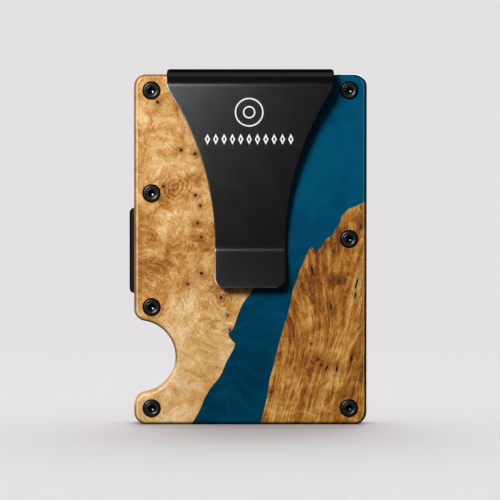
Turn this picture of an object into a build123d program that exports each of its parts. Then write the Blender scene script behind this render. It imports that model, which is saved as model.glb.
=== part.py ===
from build123d import *
import math
import os

# A slim card holder with a money clip. Two sandwich panels grip a stack of cards
# between them, held together by an elastic loop and an elastic side strap.
# A sprung steel clip folds over the top edge and grips notes on the front.
#
# All sizes are in millimetres. The model is drawn with x = 0 at the middle of the
# panels, y = 0 at the middle of the card pocket and z = 0 at the lower edge.
# The front, with the clip, faces -Y, and +Z is up.
# On export everything moves sideways, so that the origin is the bottom centre
# of the whole object's box.

# Panels. A bank card is 85.60 x 53.98 mm, and sets their size.
PANEL_WIDTH = 57.1
PANEL_HEIGHT = 86.0
PANEL_CORNER = 3.0
EDGE_ROUNDING = 1.0
OUTER_THICKNESS = 3.0
INNER_THICKNESS = 1.6
INNER_INSET = 0.25
POCKET_GAP = 0.5

# Thumb notch in the left edge, through every layer.
NOTCH_RADIUS = 9.0
NOTCH_X = -27.4
NOTCH_Z = 16.57
NOTCH_MOUTH_FILLET = 3.0

# Screws, as (x, z). They sit in counterbores and thread into the inner plates.
SCREW_LEFT_X = -24.25
SCREW_RIGHT_X = 24.25
SCREW_LEFT_Z = (3.95, 28.85, 56.8, 82.0)
SCREW_RIGHT_Z = (4.0, 45.6, 82.05)
HEAD_RADIUS = 2.2
HEAD_HEIGHT = 1.3
HEAD_CHAMFER = 0.35
HEAD_SINK = 0.05
SHANK_RADIUS = 1.0
SHANK_LENGTH = 3.0
SOCKET_DEPTH = 0.8
SOCKET_CORE_RADIUS = 0.66
SOCKET_LOBE_RADIUS = 0.2
SOCKET_LOBE_CENTRE = 0.66
COUNTERBORE_RADIUS = 2.28
COUNTERBORE_DEPTH = 1.4
CLEARANCE_HOLE_RADIUS = 1.15
TAPPED_HOLE_RADIUS = 1.02

# Elastic loop round both inner plates, and elastic strap over the left edge.
ELASTIC_THICKNESS = 0.8
CHANNEL_DEPTH = 0.9
CHANNEL_SIDE_GAP = 0.3
CHANNEL_END_GAP = 0.2
LOOP_RELIEF_GAP = 0.15
ELASTIC_SETBACK = 0.05
LOOP_WIDTH = 20.0
LOOP_BOTTOM = 0.3
LOOP_TOP = 86.9
LOOP_CORNER = 1.1
STRAP_BOTTOM = 32.2
STRAP_TOP = 53.1
STRAP_REACH = 1.23
STRAP_INNER_END = -20.9
STRAP_CORNER = 1.3
STRAP_EDGE_ROUNDING = 1.0
BEAD_LENGTH = 2.0
BEAD_THICKNESS = 1.45
THREAD_WIDTH = 0.25
THREAD_PROUD = 0.05
STITCH_LENGTH = 1.4
STITCH_PITCH = 2.0
STITCH_ROW_STEP = 0.75
SEAM_STEP = 1.0
SEAM_STITCH_LENGTH = 1.35
SEAM_STITCH_PROUD = 0.04
SEAM_STITCH_LEAN = 35
SEAM_MARGIN = 1.0

# Money clip, one strip of spring steel bent over the top edge of the front panel.
CLIP_THICKNESS = 0.8
CLIP_HALF_WIDTH = 20.6
CLIP_SHOULDER_Z = 82.0
CLIP_WAIST_HALF_WIDTH = 8.7
CLIP_WAIST_Z = 44.0
CLIP_FLANK_RADIUS = 69.3
CLIP_SHOULDER_DROP = 1.0
CLIP_TIP_CORNER = 2.3
CLIP_TOP = 87.25
CLIP_FRONT = 8.3
CLIP_FRONT_BEND = 3.34
CLIP_BACK_BEND = 0.8
CREASE_Z = 43.0
CREASE_BEND = 5.0
CREASE_CLEARANCE = 0.1
TIP_Z = 33.6
TIP_FLARE = 1.85
FLANGE_BOTTOM = 79.4
FLANGE_HALF_WIDTH = 26.3
FLANGE_SHOULDER = 84.4
FLANGE_CORNER = 1.6
FLANGE_SETBACK = 0.05
FLANGE_POCKET_DEPTH = 0.9
FLANGE_POCKET_GAP = 0.15

INNER_FACE = POCKET_GAP / 2
MID_FACE = INNER_FACE + INNER_THICKNESS
OUTER_FACE = MID_FACE + OUTER_THICKNESS
CHANNEL_FLOOR = MID_FACE - CHANNEL_DEPTH
ELASTIC_OUTER = MID_FACE - ELASTIC_SETBACK
ELASTIC_INNER = ELASTIC_OUTER - ELASTIC_THICKNESS
FAR = 2 * PANEL_HEIGHT
BACK_RIVER_SHIFT = -1.5
TINY = 0.01


def slab(outline, front, back):
    """A flat slab of a front-view outline, from the depth front to the depth back."""
    return extrude(Plane.XZ.offset(-back) * outline, amount=back - front)


def block(x, y, z):
    """A box from three (low, high) pairs."""
    corner = Pos(x[0], y[0], z[0])
    return corner * Box(x[1] - x[0], y[1] - y[0], z[1] - z[0], align=(Align.MIN,) * 3)


def to_back(shape):
    """The mirror image of a front part, on the back panel."""
    return mirror(shape, about=Plane.XZ)


def screw_places():
    left = [(SCREW_LEFT_X, z) for z in SCREW_LEFT_Z]
    right = [(SCREW_RIGHT_X, z) for z in SCREW_RIGHT_Z]
    return left + right


def panel_outline(inset=0.0):
    """Rounded rectangle with the thumb notch bitten out of its left edge."""
    width = PANEL_WIDTH - 2 * inset
    height = PANEL_HEIGHT - 2 * inset
    plate = Pos(0, PANEL_HEIGHT / 2) * RectangleRounded(width, height, PANEL_CORNER - inset)
    plate -= Pos(NOTCH_X, NOTCH_Z) * Circle(NOTCH_RADIUS + inset)
    half_chord = math.sqrt((NOTCH_RADIUS + inset) ** 2 - (NOTCH_X + width / 2) ** 2)
    mouth = [
        vertex
        for vertex in plate.vertices()
        if abs(vertex.X + width / 2) < TINY and abs(abs(vertex.Y - NOTCH_Z) - half_chord) < TINY
    ]
    return fillet(mouth, NOTCH_MOUTH_FILLET - inset)


def river_outline(shift=0.0):
    """The resin river, between two natural burl edges. It leaves by the top right."""
    left_low = Spline(
        (-15.4, -2), (-13.6, 1.5), (-12.5, 3.4), (-11.5, 5.85), (-10.4, 8.0), (-8.6, 10.4),
        (-7.1, 12.5), (-6.25, 14.6), (-5.1, 16.8), (-4.1, 18.7), (-3.75, 19.9),
    )
    left_tooth = Spline((-3.75, 19.9), (-4.6, 20.8), (-5.35, 22.0), (-4.45, 23.3))
    left_high = Spline(
        (-4.45, 23.3), (-3.8, 24.7), (-3.1, 26.9), (-2.3, 28.8), (-1.5, 30.3), (-0.4, 31.7),
        (0.5, 33.1), (3.4, 42), (1.6, 54), (-4.2, 66), (-7.8, 78), (-9, 89),
    )
    top = Line((-9, 89), (32, 89))
    side = Line((32, 89), (32, 56))
    right_high = Spline(
        (32, 56), (28.6, 55.0), (25.9, 53.7), (24.5, 53.2), (23.2, 52.1), (22.4, 51.0),
        (21.9, 49.4), (21.0, 48.2), (20.3, 46.8), (18.7, 45.6), (17.9, 44.3), (15.93, 42.7),
    )
    right_peak = Line((15.93, 42.7), (15.08, 43.7))
    right_low = Spline(
        (15.08, 43.7), (13.7, 41.5), (12.8, 39.3), (12.1, 37.9), (11.4, 35.4), (10.5, 33.3),
        (10.2, 31.6), (9.6, 28.9), (9.1, 26.8), (8.5, 25.0), (7.6, 21.9), (6.4, 17.6),
        (5.5, 13.8), (4.6, 10.6), (4.45, 8.9), (3.7, 5.0), (2.1, -2),
    )
    bottom = Line((2.1, -2), (-15.4, -2))
    edges = [left_low, left_tooth, left_high, top, side, right_high, right_peak, right_low, bottom]
    return Pos(shift, 0) * make_face(edges)


def outer_panel(with_clip_pocket):
    """One front cover panel, before it is divided into wood and resin."""
    panel = slab(panel_outline(), -OUTER_FACE, -MID_FACE)
    rim = panel.faces().sort_by(Axis.Y)[0].edges()
    panel = fillet(rim, EDGE_ROUNDING)
    for x, z in screw_places():
        place = Pos(x, z)
        bore_floor = -OUTER_FACE + COUNTERBORE_DEPTH
        panel -= slab(place * Circle(COUNTERBORE_RADIUS), -OUTER_FACE - 1, bore_floor)
        panel -= slab(place * Circle(CLEARANCE_HOLE_RADIUS), -OUTER_FACE, -MID_FACE + 1)
    if with_clip_pocket:
        pocket_front = -MID_FACE - FLANGE_POCKET_DEPTH
        panel -= slab(flange_outline(FLANGE_POCKET_GAP), pocket_front, -MID_FACE + 1)
    return panel


def divide_panel(panel, shift):
    """The burl piece on the left, the resin river and the burl piece on the right."""
    river = slab(river_outline(shift), -FAR, FAR)
    resin = panel & river
    left, right = (panel - river).solids().sort_by(Axis.X)
    return left, resin, right


def flange_outline(gap=0.0):
    """The clip's hidden flange: a neck up to the bend, and ears out to the top screws."""
    ears = Pos(0, (FLANGE_BOTTOM + FLANGE_SHOULDER) / 2) * RectangleRounded(
        2 * (FLANGE_HALF_WIDTH + gap), FLANGE_SHOULDER - FLANGE_BOTTOM + 2 * gap, FLANGE_CORNER
    )
    neck_height = CLIP_TOP + 2 - FLANGE_BOTTOM - FLANGE_CORNER
    neck = Pos(0, FLANGE_BOTTOM + FLANGE_CORNER + neck_height / 2) * Rectangle(
        2 * (CLIP_HALF_WIDTH + gap), neck_height
    )
    return ears + neck


def inner_plate():
    """The front inner plate: channels for the elastics, a window and tapped holes."""
    plate = slab(panel_outline(INNER_INSET), -MID_FACE, -INNER_FACE)
    loop_half = LOOP_WIDTH / 2 + CHANNEL_SIDE_GAP
    strap_z = (STRAP_BOTTOM - CHANNEL_SIDE_GAP, STRAP_TOP + CHANNEL_SIDE_GAP)
    channel_y = (-MID_FACE - 1, -CHANNEL_FLOOR)
    window_x = (
        STRAP_INNER_END - BEAD_LENGTH - CHANNEL_END_GAP, STRAP_INNER_END + CHANNEL_END_GAP
    )
    plate -= block((-loop_half, loop_half), channel_y, (-1, FAR))
    plate -= block((-FAR, window_x[1]), channel_y, strap_z)
    plate -= block(window_x, (-MID_FACE - 1, 1), strap_z)
    relief_top = LOOP_BOTTOM + ELASTIC_THICKNESS + LOOP_RELIEF_GAP
    plate -= block((-loop_half, loop_half), (-MID_FACE - 1, 1), (-1, relief_top))
    for x, z in screw_places():
        plate -= slab(Pos(x, z) * Circle(TAPPED_HOLE_RADIUS), -MID_FACE - 1, 1)
    return plate


def socket_outline():
    """Six-lobed drive socket."""
    lobes = PolarLocations(SOCKET_LOBE_CENTRE, 6) * Circle(SOCKET_LOBE_RADIUS)
    return Circle(SOCKET_CORE_RADIUS) + lobes


def screw():
    """One flat-headed machine screw, its head towards -Y and its shank to +Y."""
    face = -OUTER_FACE + HEAD_SINK
    head = slab(Circle(HEAD_RADIUS), face, face + HEAD_HEIGHT)
    head = chamfer(head.faces().sort_by(Axis.Y)[0].edges(), HEAD_CHAMFER)
    shank = slab(Circle(SHANK_RADIUS), face + HEAD_HEIGHT, face + HEAD_HEIGHT + SHANK_LENGTH)
    return head + shank - slab(socket_outline(), face - 1, face + SOCKET_DEPTH)


def screw_set():
    one = screw()
    return Part() + [Pos(x, 0, z) * one for x, z in screw_places()]


def loop_band():
    """Closed elastic loop that crosses the pocket at the top and at the bottom."""
    middle = (LOOP_BOTTOM + LOOP_TOP) / 2
    height = LOOP_TOP - LOOP_BOTTOM
    outer = RectangleRounded(2 * ELASTIC_OUTER, height, LOOP_CORNER)
    inner = RectangleRounded(
        2 * ELASTIC_INNER, height - 2 * ELASTIC_THICKNESS, LOOP_CORNER - ELASTIC_THICKNESS
    )
    section = Plane.YZ.offset(-LOOP_WIDTH / 2) * Pos(0, middle) * (outer - inner)
    return extrude(section, amount=LOOP_WIDTH)


def side_strap():
    """Elastic strap over the left edge, a bead at each end caught in the inner plates."""
    left = -PANEL_WIDTH / 2 - STRAP_REACH
    outer = Pos((left + STRAP_INNER_END) / 2, 0) * Rectangle(
        STRAP_INNER_END - left, 2 * ELASTIC_OUTER
    )
    outer = fillet(outer.vertices().group_by(Axis.X)[0], STRAP_CORNER)
    inside = (left + ELASTIC_THICKNESS, STRAP_INNER_END + 1)
    inner = Pos((inside[0] + inside[1]) / 2, 0) * Rectangle(
        inside[1] - inside[0], 2 * ELASTIC_INNER
    )
    inner = fillet(inner.vertices().group_by(Axis.X)[0], STRAP_CORNER - ELASTIC_THICKNESS)
    strap = extrude(Plane.XY.offset(STRAP_BOTTOM) * (outer - inner), STRAP_TOP - STRAP_BOTTOM)
    bead_x = (STRAP_INNER_END - BEAD_LENGTH, STRAP_INNER_END)
    bead_y = (-ELASTIC_OUTER, -ELASTIC_OUTER + BEAD_THICKNESS)
    bead = block(bead_x, bead_y, (STRAP_BOTTOM, STRAP_TOP))
    strap = strap + bead + to_back(bead)
    width = 2 * (STRAP_INNER_END - left)
    silhouette = Pos(left + width / 2, (STRAP_BOTTOM + STRAP_TOP) / 2) * RectangleRounded(
        width, STRAP_TOP - STRAP_BOTTOM, STRAP_EDGE_ROUNDING
    )
    return strap & slab(silhouette, -FAR, FAR)


def strap_stitching():
    """Two rows of thread across the bead at the front end of the side strap."""
    stitches = []
    count = int((STRAP_TOP - STRAP_BOTTOM - STITCH_LENGTH) / STITCH_PITCH) + 1
    first = (STRAP_BOTTOM + STRAP_TOP - (count - 1) * STITCH_PITCH - STITCH_LENGTH) / 2
    face = -ELASTIC_OUTER + BEAD_THICKNESS
    for row in (1, 2):
        x = STRAP_INNER_END - row * STITCH_ROW_STEP
        thread_x = (x, x + THREAD_WIDTH)
        for n in range(count):
            low = first + n * STITCH_PITCH
            stitches.append(block(thread_x, (face, face + THREAD_PROUD), (low, low + STITCH_LENGTH)))
    return Part() + stitches


def seam_stitching():
    """Zigzag thread that joins the loop's ends, on its outside in the back channel."""
    stitches = []
    centre = PANEL_HEIGHT / 2
    reach = LOOP_WIDTH / 2 - SEAM_MARGIN
    count = int(2 * reach / SEAM_STEP)
    for n in range(count):
        lean = SEAM_STITCH_LEAN if n % 2 else -SEAM_STITCH_LEAN
        place = Pos(-reach + (n + 0.5) * SEAM_STEP, ELASTIC_OUTER, centre) * Rot(0, lean, 0)
        align = (Align.CENTER, Align.MIN, Align.CENTER)
        stitch = Box(THREAD_WIDTH, SEAM_STITCH_PROUD, SEAM_STITCH_LENGTH, align=align)
        stitches.append(place * stitch)
    return Part() + stitches


def clip_front_outline():
    """The clip as seen from the front: broad at the bend, curving in to a narrow tongue."""
    centre_x = CLIP_WAIST_HALF_WIDTH + CLIP_FLANK_RADIUS
    rise = CLIP_SHOULDER_Z - CLIP_WAIST_Z
    shoulder_x = centre_x - math.sqrt(CLIP_FLANK_RADIUS**2 - rise**2)
    mid_rise = rise / 2
    mid = (centre_x - math.sqrt(CLIP_FLANK_RADIUS**2 - mid_rise**2), CLIP_WAIST_Z + mid_rise)
    waist = (CLIP_WAIST_HALF_WIDTH, CLIP_WAIST_Z)
    over = CLIP_TOP + CLIP_SHOULDER_DROP
    side_end = CLIP_SHOULDER_Z + CLIP_SHOULDER_DROP
    half = [
        Line((0, over), (CLIP_HALF_WIDTH, over)),
        Line((CLIP_HALF_WIDTH, over), (CLIP_HALF_WIDTH, side_end)),
        Line((CLIP_HALF_WIDTH, side_end), (shoulder_x, CLIP_SHOULDER_Z)),
        ThreePointArc((shoulder_x, CLIP_SHOULDER_Z), mid, waist),
        Line(waist, (CLIP_WAIST_HALF_WIDTH, TIP_Z)),
        Line((CLIP_WAIST_HALF_WIDTH, TIP_Z), (0, TIP_Z)),
        Line((0, TIP_Z), (0, over)),
    ]
    right = make_face(half)
    outline = right + mirror(right, about=Plane.YZ)
    tips = [v for v in outline.vertices() if abs(v.Y - TIP_Z) < TINY and abs(v.X) > TINY]
    return fillet(tips, CLIP_TIP_CORNER)


def clip_strip():
    """The whole clip, bent from flat strip, before it is divided into base and arm."""
    half = CLIP_THICKNESS / 2
    flange_y = -MID_FACE - FLANGE_SETBACK - half
    run_z = CLIP_TOP - half
    crease_y = -OUTER_FACE - CREASE_CLEARANCE - half
    # The arm leans in towards the crease, so the bend turns a little more than a quarter.
    lean = math.atan2(CLIP_FRONT - half + crease_y, run_z - CREASE_Z)
    turn = math.pi / 2 + lean
    corner_y = -CLIP_FRONT + half + CLIP_FRONT_BEND * (1 - math.tan(turn / 2))
    path = FilletPolyline(
        (0, flange_y, FLANGE_BOTTOM),
        (0, flange_y, run_z),
        (0, corner_y, run_z),
        (0, crease_y, CREASE_Z),
        (0, crease_y - TIP_FLARE, TIP_Z - 1),
        radius=[CLIP_BACK_BEND, CLIP_FRONT_BEND, CREASE_BEND],
    )
    section = Plane(path @ 0, x_dir=(1, 0, 0), z_dir=path % 0) * Rectangle(
        4 * CLIP_HALF_WIDTH, CLIP_THICKNESS
    )
    strip = sweep(section, path=path)
    arm_depth = slab(clip_front_outline(), -FAR, flange_y - half - TINY)
    flange_depth = slab(flange_outline(), flange_y - half - TINY, FAR)
    strip = strip & (arm_depth + flange_depth)
    for x, z in screw_places():
        if z > FLANGE_BOTTOM:
            strip -= slab(Pos(x, z) * Circle(CLEARANCE_HOLE_RADIUS), -FAR, FAR)
    return strip


def divide_clip(strip):
    """The clamped base with its bends, and the arm that flexes, split below the bend."""
    split_z = CLIP_TOP - CLIP_THICKNESS / 2 - CLIP_FRONT_BEND
    arm_space = block((-FAR, FAR), (-FAR, -OUTER_FACE), (-FAR, split_z))
    return strip - arm_space, strip & arm_space


def build():
    """Every sub-part by name, in the drawing frame."""
    parts = {}
    front = divide_panel(outer_panel(with_clip_pocket=True), shift=0.0)
    back = divide_panel(outer_panel(with_clip_pocket=False), shift=BACK_RIVER_SHIFT)
    for name, piece in zip(("burl_left", "resin_river", "burl_right"), front):
        parts["front_" + name] = piece
    for name, piece in zip(("burl_left", "resin_river", "burl_right"), back):
        parts["back_" + name] = to_back(piece)
    parts["front_inner_plate"] = inner_plate()
    parts["back_inner_plate"] = to_back(inner_plate())
    parts["front_screws"] = screw_set()
    parts["back_screws"] = to_back(screw_set())
    parts["elastic_loop"] = loop_band()
    parts["elastic_loop_seam"] = seam_stitching()
    parts["side_strap"] = side_strap()
    parts["side_strap_front_stitching"] = strap_stitching()
    parts["side_strap_back_stitching"] = to_back(strap_stitching())
    parts["clip_base"], parts["clip_arm"] = divide_clip(clip_strip())
    return parts


parts = build()
boxes = [shape.bounding_box() for shape in parts.values()]
shift_x = -(min(box.min.X for box in boxes) + max(box.max.X for box in boxes)) / 2
shift_y = -(min(box.min.Y for box in boxes) + max(box.max.Y for box in boxes)) / 2
os.makedirs("parts", exist_ok=True)
for name, shape in parts.items():
    placed = Pos(shift_x, shift_y, 0) * shape
    placed.label = name
    export_step(placed, os.path.join("parts", name + ".step"))
print("moved by", round(shift_x, 4), round(shift_y, 4))
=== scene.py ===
import math

import bmesh
import bpy
from mathutils import Matrix, Vector


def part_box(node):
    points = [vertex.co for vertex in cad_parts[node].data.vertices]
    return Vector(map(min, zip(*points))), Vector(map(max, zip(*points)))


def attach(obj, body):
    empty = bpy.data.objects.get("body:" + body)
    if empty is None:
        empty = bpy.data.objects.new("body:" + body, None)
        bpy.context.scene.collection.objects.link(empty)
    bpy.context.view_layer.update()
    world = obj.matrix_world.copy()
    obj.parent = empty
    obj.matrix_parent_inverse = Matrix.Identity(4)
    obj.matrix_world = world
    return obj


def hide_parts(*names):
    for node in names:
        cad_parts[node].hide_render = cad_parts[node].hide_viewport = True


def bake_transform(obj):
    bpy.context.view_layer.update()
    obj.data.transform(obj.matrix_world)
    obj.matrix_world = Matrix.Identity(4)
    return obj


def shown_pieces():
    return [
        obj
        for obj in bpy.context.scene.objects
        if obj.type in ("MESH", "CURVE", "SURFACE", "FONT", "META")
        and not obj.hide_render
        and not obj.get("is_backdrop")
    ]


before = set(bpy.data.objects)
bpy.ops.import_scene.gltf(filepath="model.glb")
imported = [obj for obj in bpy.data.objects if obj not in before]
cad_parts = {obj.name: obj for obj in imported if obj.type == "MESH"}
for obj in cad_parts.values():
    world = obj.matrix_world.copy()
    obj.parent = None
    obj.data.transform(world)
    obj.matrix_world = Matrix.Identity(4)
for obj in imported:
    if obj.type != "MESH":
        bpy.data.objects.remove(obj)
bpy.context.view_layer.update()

# A slim card holder with a money clip: two sandwich panels of burl and blue resin,
# a black spring clip over the top edge, black screws and black elastics.
# Lengths are in metres. MM turns the drawing's millimetres into metres.
MM = 0.001

# ---------------------------------------------------------------- places in the frame
FRONT_LOW, FRONT_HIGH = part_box("front_resin_river")
BACK_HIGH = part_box("back_resin_river")[1]
CLIP_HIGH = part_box("clip_base")[1]
LEFT_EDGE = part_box("front_burl_left")[0][0]
MIDDLE_X = (LEFT_EDGE + FRONT_HIGH[0]) / 2
POCKET_Y = (FRONT_LOW[1] + BACK_HIGH[1]) / 2
FACE_Y = FRONT_LOW[1]
BACK_FACE_Y = BACK_HIGH[1]


def place(x, y, z):
    """A point given in the drawing's millimetres: x from the panel's middle, y from the pocket."""
    return Vector((MIDDLE_X + x * MM, POCKET_Y + y * MM, z * MM))


# ---------------------------------------------------------------- node graphs
class Graph:
    """Short names for building the nodes of a new material or world. Most methods add a
    node and return the socket that it gives out."""

    def __init__(self, owner):
        owner.use_nodes = True
        self.owner = owner
        self.tree = owner.node_tree
        self.shader = self.tree.nodes.get("Principled BSDF")

    def node(self, kind, **settings):
        made = self.tree.nodes.new(kind)
        for key, value in settings.items():
            setattr(made, key, value)
        return made

    def feed(self, socket, value):
        """Links a socket into this one, or sets its value."""
        if isinstance(value, bpy.types.NodeSocket):
            self.tree.links.new(value, socket)
        else:
            socket.default_value = value

    def fed(self, made, *values):
        """Feeds a node's inputs in their order, and returns its first output."""
        for socket, value in zip(made.inputs, values):
            self.feed(socket, value)
        return made.outputs[0]

    def math(self, operation, a, b=0.0):
        return self.fed(self.node("ShaderNodeMath", operation=operation), a, b)

    def vector(self, operation, a, b):
        return self.fed(self.node("ShaderNodeVectorMath", operation=operation), a, b)

    def scaled(self, vector, factor):
        made = self.node("ShaderNodeVectorMath", operation="SCALE")
        made.inputs["Scale"].default_value = factor
        return self.fed(made, vector)

    def length(self, vector):
        made = self.node("ShaderNodeVectorMath", operation="LENGTH")
        self.feed(made.inputs[0], vector)
        return made.outputs["Value"]

    def drawing_mm(self):
        """The surface point in the drawing's millimetres."""
        where = self.node("ShaderNodeTexCoord").outputs["Object"]
        centre = (MIDDLE_X, POCKET_Y, 0.0)
        return self.scaled(self.vector("SUBTRACT", where, centre), 1 / MM)

    def split(self, vector):
        made = self.node("ShaderNodeSeparateXYZ")
        self.feed(made.inputs["Vector"], vector)
        return made.outputs

    def join(self, x, y, z):
        return self.fed(self.node("ShaderNodeCombineXYZ"), x, y, z)

    def noise(self, vector, scale, detail=2.0, roughness=0.5, as_vector=False):
        made = self.node("ShaderNodeTexNoise")
        self.feed(made.inputs["Vector"], vector)
        made.inputs["Scale"].default_value = scale
        made.inputs["Detail"].default_value = detail
        made.inputs["Roughness"].default_value = roughness
        return made.outputs["Color" if as_vector else "Fac"]

    def smooth(self, value, low, high, to_low=0.0, to_high=1.0):
        """Eases from to_low, where value is low, to to_high, where it is high."""
        made = self.node("ShaderNodeMapRange", interpolation_type="SMOOTHSTEP")
        return self.fed(made, value, low, high, to_low, to_high)

    def ramp(self, value, stops):
        """Colours along a ramp; stops are (position, hex colour as in print)."""
        made = self.node("ShaderNodeValToRGB")
        elements = made.color_ramp.elements
        while len(elements) < len(stops):
            elements.new(0.5)
        for element, (position, text) in zip(elements, stops):
            element.position = position
            element.color = colour(text)
        return self.fed(made, value)

    def mix(self, share, a, b):
        """Colour a where share is 0, b where it is 1."""
        made = self.node("ShaderNodeMix", data_type="RGBA")
        self.feed(made.inputs[0], share)
        self.feed(made.inputs[6], a)
        self.feed(made.inputs[7], b)
        return made.outputs[2]

    def lerp(self, share, a, b):
        """Number a where share is 0, b where it is 1."""
        return self.fed(self.node("ShaderNodeMix", data_type="FLOAT"), share, a, b)

    def least(self, values):
        """The smallest of several values."""
        smallest = values[0]
        for value in values[1:]:
            smallest = self.math("MINIMUM", smallest, value)
        return smallest

    def bump(self, height, distance, strength):
        made = self.node("ShaderNodeBump")
        made.inputs["Distance"].default_value = distance
        made.inputs["Strength"].default_value = strength
        self.feed(made.inputs["Height"], height)
        self.feed(self.shader.inputs["Normal"], made.outputs[0])

    def set(self, **values):
        """Feeds the shader's inputs by name, and returns the material."""
        for name, value in values.items():
            self.feed(self.shader.inputs[name.replace("_", " ")], value)
        return self.owner


def material_graph(name):
    return Graph(bpy.data.materials.new(name))


def colour(text):
    """A scene-linear colour from sRGB hex."""
    def linear(part):
        value = int(part, 16) / 255
        return value / 12.92 if value <= 0.04045 else ((value + 0.055) / 1.055) ** 2.4
    return (linear(text[0:2]), linear(text[2:4]), linear(text[4:6]), 1.0)


# ---------------------------------------------------------------- materials
# Places and sizes are in the drawing's millimetres.
# Middle of the thumb notch, as (x, z).
NOTCH = (-27.4, 16.57)
# Pin knots of the light burl, as (x, z, radius).
KNOTS = (
    (-22.7, 79.1, 0.42), (-17.0, 67.5, 0.40), (-13.6, 66.5, 0.42), (-21.3, 58.5, 0.36),
    (-13.4, 56.3, 0.36), (-12.3, 53.8, 0.34), (-12.9, 49.4, 0.40), (-12.0, 46.0, 0.36),
    (-12.0, 37.1, 0.42), (-15.4, 34.5, 0.34), (-7.2, 31.2, 0.38), (-5.6, 26.8, 0.30),
    (-5.0, 23.3, 0.30), (-1.0, 60.0, 0.4), (-3.0, 72.0, 0.4), (-9.0, 76.0, 0.35),
)
# Eyes of the light burl, where the figure runs in rings, as (x, z, reach).
EYES = ((-18.6, 58.2, 3.6), (-7.0, 31.1, 3.2), (-15.1, 42.7, 1.3), (-15.4, 34.5, 1.8))
# Long pores of the dark burl, as (x, z, half length, lean from upright in degrees).
PORES = (
    (15.1, 38.0, 1.4, -14), (26.1, 34.6, 1.5, 14), (25.8, 31.8, 0.8, 8), (19.8, 28.9, 0.9, -6),
    (16.6, 15.9, 0.7, 28), (18.7, 13.8, 1.0, 24), (21.3, 13.6, 0.8, 16), (24.8, 16.2, 1.5, 14),
    (5.1, 7.9, 0.3, 0), (14.9, 19.9, 0.3, 0), (17.3, 14.7, 0.4, 40),
)
PORE_HALF_WIDTH = 0.26
# Dark clouds of the dark burl, as (x, z, reach, depth of tone).
CLOUDS = (
    (16.2, 42.0, 2.2, 0.20), (20.8, 44.2, 2.6, 0.22), (21.6, 35.5, 2.0, 0.10), (9.5, 26.0, 2.6, 0.12),
    (12.0, 20.5, 2.4, 0.10), (27.0, 12.5, 3.0, 0.12), (6.8, 15.0, 2.2, 0.10), (11.3, 30.5, 1.8, 0.10),
)


def near(graph, point, x, z, stretch=1.0, lean=0.0):
    """Distance from a line through the panel at x, z; stretch makes the spot longer upwards."""
    offset = graph.vector("SUBTRACT", point, (x, 0, z))
    turned = graph.node("ShaderNodeVectorRotate", rotation_type="Y_AXIS")
    graph.feed(turned.inputs["Vector"], offset)
    turned.inputs["Angle"].default_value = math.radians(-lean)
    flat = graph.vector("MULTIPLY", turned.outputs[0], (1, 0, 1 / stretch))
    return graph.length(flat)


def wobbled(graph, point, scale, reach, detail=2.0):
    """The point pushed about by a noise of that scale, by up to half of reach."""
    push = graph.noise(point, scale, detail, as_vector=True)
    push = graph.vector("SUBTRACT", push, (0.5, 0.5, 0.5))
    return graph.vector("ADD", point, graph.scaled(push, reach))


def tone_of(graph, *layers):
    """Mixes noises into one tone about a half; each layer is (noise, weight)."""
    total = 0.5
    for value, weight in layers:
        swing = graph.math("MULTIPLY", graph.math("SUBTRACT", value, 0.5), weight)
        total = graph.math("ADD", swing, total)
    return total


def painted_edge_shade_and_highlight(graph, point, base, pale, dark, rim=0.8):
    """Painted shade: a darker rim where the face rounds over. Painted highlight: a thin pale
    line inside it down the two long edges. rim is how much of the painted shade the sides take."""
    x, y, _ = graph.split(point)
    depth = graph.math("SUBTRACT", (POCKET_Y - FACE_Y) / MM, graph.math("ABSOLUTE", y))
    # The painted highlight: a thin pale line where the face starts to round over, on the long edges
    # only.
    starts = graph.smooth(depth, 0.002, 0.012)
    ends = graph.smooth(depth, 0.10, 0.04)
    outermost = graph.smooth(graph.math("ABSOLUTE", x), 26.6, 27.4)
    line = graph.math("MULTIPLY", graph.math("MULTIPLY", starts, ends), outermost)
    # Painted shade on the rounded rim, then the painted highlight line over it.
    base = graph.mix(graph.smooth(depth, 0.01, 0.25, 0.0, rim), base, colour(dark))
    return graph.mix(graph.math("MULTIPLY", line, 0.6), base, colour(pale))


def ringed_eyes(g, point, tone):
    """Darker growth round each eye, in rings."""
    ringed = wobbled(g, point, 0.30, 3.0)
    eye = g.least([
        g.math("DIVIDE", near(g, ringed, x, z, stretch=1.15), reach) for x, z, reach in EYES
    ])
    rings = g.math("SINE", g.math("MULTIPLY", g.math("MULTIPLY", eye, 3.4), 2 * math.pi))
    in_eye = g.smooth(eye, 1.6, 0.5)
    tone = g.math("SUBTRACT", tone, g.math("MULTIPLY", in_eye, 0.10))
    return g.math("ADD", tone, g.math("MULTIPLY", g.math("MULTIPLY", rings, in_eye), 0.12))


def curly_lines(g, point, tight, base):
    """Fine curly lines, thin and pale with a dark side, where the grain is wild."""
    level = g.noise(tight, 0.24)
    wild = g.smooth(g.noise(point, 0.09, 1), 0.40, 0.56)
    ridge = g.math("ABSOLUTE", g.math("SUBTRACT", level, 0.5))
    shade = g.math("ABSOLUTE", g.math("SUBTRACT", level, 0.518))
    pale = g.math("MULTIPLY", g.smooth(ridge, 0.014, 0.002, 0.0, 0.42), wild)
    dark = g.math("MULTIPLY", g.smooth(shade, 0.014, 0.002, 0.0, 0.45), wild)
    base = g.mix(dark, base, colour("8e5722"))
    return g.mix(pale, base, colour("f2cc8e"))


def pin_knots(g, knot, tight, base):
    """Brown flecks gather round each knot, and the knot itself is nearly black."""
    flecks = g.smooth(g.noise(tight, 1.5, 3, 0.7), 0.50, 0.62)
    flecked = g.math("MULTIPLY", flecks, g.smooth(knot, 9.0, 2.0, 0.0, 0.5))
    base = g.mix(flecked, base, colour("8a4c1c"))
    base = g.mix(g.smooth(knot, 4.5, 1.0, 0.0, 0.6), base, colour("94571f"))
    return g.mix(g.smooth(knot, 1.35, 0.6), base, colour("2e150d"))


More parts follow.
